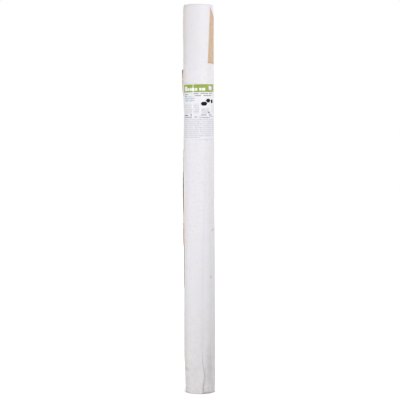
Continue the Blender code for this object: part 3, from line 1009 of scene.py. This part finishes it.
def label_paper():
    """Coated paper: bright, smooth, with a clear gloss and crisp print."""
    material, shader = new_material("coated_label_paper")
    flat = add_node(material, "UVMap", uv_map="flat_sheet").outputs["UV"]
    patterns = []
    for size, detail in ((PAPER_GRAIN, 3.0), (BAND_GRAIN, 2.0), (PAPER_RIPPLE, 2.0)):
        sockets = {"Vector": flat, "Scale": 1 / size, "Detail": detail}
        patterns.append(add_node(material, "TexNoise", sockets).outputs[0])
    grain, band_grain, ripple = patterns
    green = paint_layers(material, "#92A540", [(band_grain, "#A3B552", "MIX")])
    band = bar(material, flat, *GREEN_BAND)
    # What is printed, in the order in which it lies on the paper
    prints = [(grain, "#F8F8FC"), (band, green)]
    prints += [(bar(material, flat, *corners), "#FAFAFE") for corners in BAND_BARS]
    prints.append((disc(material, flat, *BAND_DISC[:2]), BAND_DISC[2]))
    for corners, strength in VEILS:
        prints.append((overlap(material, bar(material, flat, *corners), strength), VEIL_INK))
    for *rows, ink, strength in TYPE_BLOCKS:
        prints.append((overlap(material, type_rows(material, flat, *rows), strength), ink))
    prints.append((disc(material, flat, *GREY_DOT[:2]), GREY_DOT[2]))
    prints += [(counter(material, flat, corners), "#0D0D0D") for corners in BLACK_SHAPES]
    varnish = add_node(material, "MapRange", {"Value": band, "To Min": 0.2, "To Max": 0.7})
    sockets = {
        "Base Color": paint_layers(material, "#F0F0F6", [(mask, ink, "MIX") for mask, ink in prints]),
        "Roughness": 0.5,
        "Specular IOR Level": 0.05,
        "Coat Weight": varnish.outputs["Result"],
        "Coat Roughness": 0.05,
        "Normal": raise_layers(material, [(ripple, 0.0005, 0.2)]),
    }
    set_sockets(shader, sockets)
    return material


bm = laid_sheet(LABEL_CORNER, (LABEL_WIDTH, LABEL_HEIGHT), LABEL_LEAN, LABEL_GRID, LABEL_THICKNESS)
label = finish_piece("label_sheet", bm, label_paper(), "label", "label")
thicken(label, LABEL_THICKNESS)
print(f"label: {len(label.data.polygons)} faces, {len(label.active_material.node_tree.nodes)} shader nodes")

# %% [markdown]
# ## The packing tape
# Brown packing tape is a thin polypropylene film with a tan glue. On white it looks pale, and a little
# darker where the glue has wetted the sheet. It shines softly, and fine wrinkles run along it. One strip
# holds the free edge at the head, its upper end cut slanting.
#
# Two more run down the left side. Behind its front edge each stands off like a low tent, so a sliver of it
# shows at the roll's outline. The fold's colour is painted shade, near black where the fold is deepest, and
# the tape's tan, painted lighter where light comes through the film from behind. The film in front of it is
# painted near white, a painted highlight. One table for each says, along the strip, how far it stands off,
# the fold's painted shade and light, how much light the fold stops, and the painted highlight of the face
# in front of it. Colour ramps hold the last three, and masks across the strip keep them to the fold and to
# the face.

# %% How the side strips stand off
TAPE_WIDTH = 0.050
# How far the tent reaches back from the front edge, and over how much of that its back slope rises
TENT_WIDTH = 0.027
TENT_RISE = 0.012
# Share of the strip's length, how far it stands off, the fold's painted shade and light, light stopped, the
# face's painted highlight
UPPER_EDGE = (
    (0.0, 0.0000, "#FAF8F8", 0.3, "#F8F6F0"),
    (0.15, 0.0026, "#EEECEA", 0.9, "#F8F6F0"),
    (0.31, 0.0040, "#D6D4D0", 1.0, "#E8E8D8"),
    (0.46, 0.0044, "#F6E2D6", 1.0, "#ECE6D8"),
    (0.62, 0.0044, "#E8D0A8", 1.0, "#E6DAD8"),
    (0.77, 0.0044, "#CCA890", 1.0, "#F0E0D4"),
    (0.84, 0.0044, "#8E6A50", 1.0, "#ECE2DA"),
    (0.88, 0.0044, "#1E1512", 1.0, "#E6DEDA"),
    (0.96, 0.0044, "#120D0A", 1.0, "#E2DCDA"),
    (1.0, 0.0044, "#4A3C32", 1.0, "#D8D0CC"),
)
# The lower strip the same way: painted shade and light in the fold, a painted highlight on the face
LOWER_EDGE = (
    (0.0, 0.0000, "#E9E7E2", 0.3, "#FFFDF8"),
    (0.03, 0.0001, "#6A655B", 1.0, "#FFFDF8"),
    (0.29, 0.0006, "#706B60", 1.0, "#FFFDF8"),
    (0.335, 0.0036, "#D2B09A", 0.9, "#EADCD0"),
    (0.365, 0.0036, "#BC9F88", 0.95, "#FBEAE0"),
    (0.42, 0.0036, "#DCBAA2", 0.75, "#F4E6D8"),
    (0.48, 0.0036, "#F8E8D6", 1.0, "#F4ECE2"),
    (0.535, 0.0036, "#F8E6D2", 1.0, "#F4EAE0"),
    (0.59, 0.0036, "#8A7860", 1.0, "#FFF3E8"),
    (0.65, 0.0036, "#825E48", 1.0, "#FFFAF2"),
    (0.71, 0.0036, "#80644F", 1.0, "#FFFFFA"),
    (0.741, 0.0036, "#32221A", 1.0, "#FFFFFA"),
    (0.775, 0.0035, "#5A524D", 1.0, "#FFFFFA"),
    (0.80, 0.0034, "#747272", 1.0, "#FFFFFA"),
    (0.835, 0.0032, "#A4A2A1", 0.95, "#FAFAF4"),
    (0.86, 0.0022, "#E8E6E4", 0.9, "#FAF8F2"),
    (0.94, 0.0020, "#E4E2E0", 0.9, "#F4F4F0"),
    (1.0, 0.0014, "#DCDAD9", 0.9, "#F2F2F2"),
)


def depth_at(edge, up):
    """How far a side strip stands off at this share of its length, from its table."""
    for (low, first, *_), (high, last, *_) in zip(edge, edge[1:]):
        if up <= high:
            return first + (last - first) * ease((up - low) / (high - low))


def tented(edge):
    """A lift for a strip that stands off like a tent just behind its right edge."""

    def lift(across, up):
        behind = (1 - across) * TAPE_WIDTH
        rising = ease((TENT_WIDTH - behind) / TENT_RISE)
        falling = ease(behind / (TENT_WIDTH - TENT_RISE))
        return depth_at(edge, up) * rising * falling

    return lift


print(f"the lower strip stands off {depth_at(LOWER_EDGE, 0.5) * 1000:.1f} mm half way up")

# %% Tan film, and the painted shade in its fold
WET_PATCH = 0.012
WRINKLE_SPACING = 0.003
# Wrinkles are this much narrower than they are long
WRINKLE_STRETCH = 0.12
# How far the fold's painted shade reaches back from the front edge, how soft its end is, and how far it
# wanders; then how wide the face with its painted highlight is, and how soft its end
TENT_RIM = 0.0143
TENT_RIM_SOFTNESS = 0.005
FOLD_SHADE_WANDER = 0.0135
FACE_WIDTH = 0.0083
FACE_SOFTNESS = 0.001


def painted_fold_and_face(material, shader, parts, patches, wetted, film, edge, length):
    """The fold's painted shade and light, and the face's painted highlight, over a side strip's film
    colour.
    """
    sockets = {0: patches, 1: 2 * WET_PATCH, 2: parts["Y"]}
    up = add_node(material, "Math", sockets, operation="MULTIPLY_ADD").outputs[0]
    sockets = {"Value": up, "From Min": WET_PATCH, "From Max": length + WET_PATCH}
    along = {"Fac": add_node(material, "MapRange", sockets).outputs["Result"]}
    # The fold's ramp paints its shade and the light through the film, the face's ramp a painted highlight
    painted_fold = add_node(material, "ValToRGB", along, [(row[0], row[2], row[3]) for row in edge]).outputs
    pale = add_node(material, "ValToRGB", along, [(row[0], row[4], 1) for row in edge]).outputs["Color"]
    sockets = {0: patches, 1: FOLD_SHADE_WANDER, 2: parts["X"]}
    wandering = add_node(material, "Math", sockets, operation="MULTIPLY_ADD").outputs[0]
    masks = []
    for across, width, softness in (
        (wandering, TENT_RIM, TENT_RIM_SOFTNESS),
        (parts["X"], FACE_WIDTH, FACE_SOFTNESS),
    ):
        start = TAPE_WIDTH - width
        sockets = {"Value": across, "From Min": start, "From Max": start + softness}
        masks.append(add_node(material, "MapRange", sockets).outputs["Result"])
    folded, faced = masks
    mottle = paint_layers(material, "#FFFFFF", [(wetted, "#BDB2A6", "MIX")])
    mottled = paint_layers(material, painted_fold["Color"], [(1.0, mottle, "MULTIPLY")])
    colour = paint_layers(material, film, [(folded, mottled, "MIX"), (faced, pale, "MIX")])
    alpha = 1.0
    for mask, inside in ((folded, painted_fold["Alpha"]), (faced, 1.0)):
        sockets = {"Value": mask, "To Min": alpha, "To Max": inside}
        alpha = add_node(material, "MapRange", sockets).outputs["Result"]
    set_sockets(shader, {"Alpha": alpha})
    return colour


def packing_tape(name, edge=(), length=1.0):
    """Tan polypropylene tape: thin, satin, patchy with wetted glue, a side strip's fold with painted shade.
    """
    material, shader = new_material(name)
    flat = add_node(material, "UVMap", uv_map="flat_sheet").outputs["UV"]
    sockets = {"Vector": flat, "Scale": 1 / WET_PATCH, "Detail": 4.0, "Roughness": 0.65}
    patches = add_node(material, "TexNoise", sockets).outputs[0]
    drawn = add_node(material, "Mapping", {"Vector": flat, "Scale": (1, WRINKLE_STRETCH, 1)}).outputs[0]
    sockets = {"Vector": drawn, "Scale": 1 / WRINKLE_SPACING, "Detail": 2.0}
    wrinkles = add_node(material, "TexNoise", sockets).outputs[0]
    wetted, streaked = (
        add_node(material, "MapRange", {"Value": pattern, "From Min": low, "From Max": high}).outputs[0]
        for pattern, low, high in ((patches, 0.35, 0.65), (wrinkles, 0.3, 0.9))
    )
    colour = paint_layers(material, "#C4A080", [(wetted, "#DBC2A8", "MIX"), (streaked, "#D0B195", "MIX")])
    if edge:
        parts = add_node(material, "SeparateXYZ", {"Vector": flat}).outputs
        colour = painted_fold_and_face(material, shader, parts, patches, wetted, colour, edge, length)
    sockets = {
        "Base Color": colour,
        "Roughness": 0.34,
        "IOR": 1.45,
        "Specular IOR Level": 0.1 if edge else 0.5,
        "Normal": raise_layers(material, [(wrinkles, 0.0002, 0.4)]),
    }
    set_sockets(shader, sockets)
    return material


# How far back the painted shade in the fold reaches
print(f"dirt reaches {TENT_RIM * 1000:.1f} mm back from a side strip's front edge")

# %% Lay the strips
TAPE_THICKNESS = 0.00008
TAPE_COLUMNS = 30
TAPE_ROW = 0.006
TAPE_ROWS_AT_LEAST = 16
# The head strip: bearing and height of its lower left corner, length of its left side, lean in degrees,
# and how much shorter its right side is
HEAD_TAPE_CORNER = (36.5, 1.277)
HEAD_TAPE_LENGTH = 0.214
HEAD_TAPE_LEAN = 3.7
HEAD_TAPE_CUT = 0.055
# Bearing of the front edge, height of the foot, length, table of the edge
SIDE_STRIPS = {
    "side_tape_upper": (-72, 1.153, 0.100, UPPER_EDGE),
    "side_tape_lower": (-66, 0.410, 0.534, LOWER_EDGE),
}


def tape_strip(node, film, corner, length, lean=0, lift=None, end_fall=0):
    """One strip of tape laid on the roll, in place of its solid."""
    grid = (TAPE_COLUMNS, max(TAPE_ROWS_AT_LEAST, round(length / TAPE_ROW)))
    bm = laid_sheet(corner, (TAPE_WIDTH, length), lean, grid, TAPE_THICKNESS, lift, end_fall)
    strip = finish_piece(node + "_film", bm, film, "packing_tape", node)
    thicken(strip, TAPE_THICKNESS)
    print(f"{strip.name}: {len(strip.data.polygons)} faces")


tape_strip(
    "head_tape",
    packing_tape("tan_packing_tape"),
    HEAD_TAPE_CORNER,
    HEAD_TAPE_LENGTH,
    HEAD_TAPE_LEAN,
    end_fall=HEAD_TAPE_CUT,
)
# Each side strip's film has painted shade and light in its fold and a painted highlight on its face
for node, (front, foot, length, edge) in SIDE_STRIPS.items():
    film = packing_tape(node + "_painted_fold_film", edge, length)
    back = front - math.degrees(TAPE_WIDTH / ROLL_RADIUS)
    tape_strip(node, film, (back, foot), length, lift=tented(edge))
